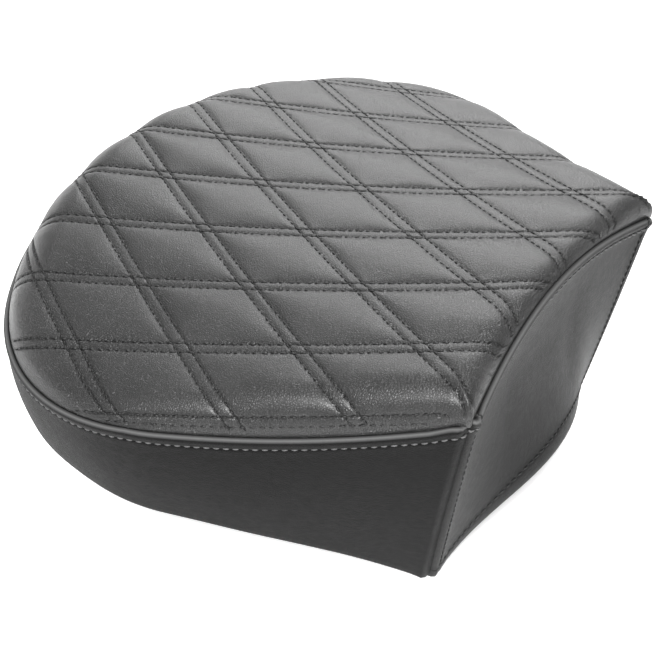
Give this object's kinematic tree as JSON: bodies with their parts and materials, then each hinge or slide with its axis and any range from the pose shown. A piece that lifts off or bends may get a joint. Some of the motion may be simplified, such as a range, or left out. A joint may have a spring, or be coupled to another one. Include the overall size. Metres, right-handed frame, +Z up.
{
  "type": "motorcycle passenger seat pad",
  "caption": "Detachable motorcycle passenger pad: wide rounded rear, narrower front, diamond-quilted top, arched underside that sits over a rear fender.",
  "frame": {"origin": "bottom centre of the whole pad's box, on the plane that the front corners and the rear edge stand on", "axes": "+X towards the front of the motorcycle, +Y towards its left, +Z up"},
  "size_m": [0.345, 0.3546, 0.1572],
  "materials": {
    "quilted_vinyl": "black grained vinyl, low satin sheen",
    "side_vinyl": "black grained vinyl, low satin sheen",
    "front_vinyl": "black grained vinyl, low satin sheen",
    "thread": "black bonded polyester thread with a slight gloss",
    "scrim_foam": "thin open-cell foam, pale",
    "seat_foam": "moulded polyurethane foam, cream",
    "pan_plastic": "moulded black plastic, fine texture",
    "felt": "dark grey needled felt",
    "black_steel": "black powder coat, satin",
    "zinc_steel": "zinc plated",
    "bumper_rubber": "moulded black rubber",
    "staple_wire": "galvanised wire"
  },
  "bodies": {
    "root": {"top_cover": "quilted_vinyl", "side_cover": "side_vinyl", "front_cover": "front_vinyl", "quilt_padding": "scrim_foam", "foam_cushion": "seat_foam", "base_pan": "pan_plastic", "pan_liner": "felt", "rear_bracket": "black_steel", "front_bracket": "black_steel", "rear_rivets": "zinc_steel", "rear_rivet_washers": "zinc_steel", "front_bracket_bolts": "zinc_steel", "front_bracket_washers": "zinc_steel", "front_tee_nuts": "zinc_steel", "front_staples": "staple_wire", "side_staples": "staple_wire", "bumper_front_left": "bumper_rubber", "bumper_front_right": "bumper_rubber", "bumper_rear_left": "bumper_rubber", "bumper_rear_right": "bumper_rubber"}
  },
  "joints": []
}
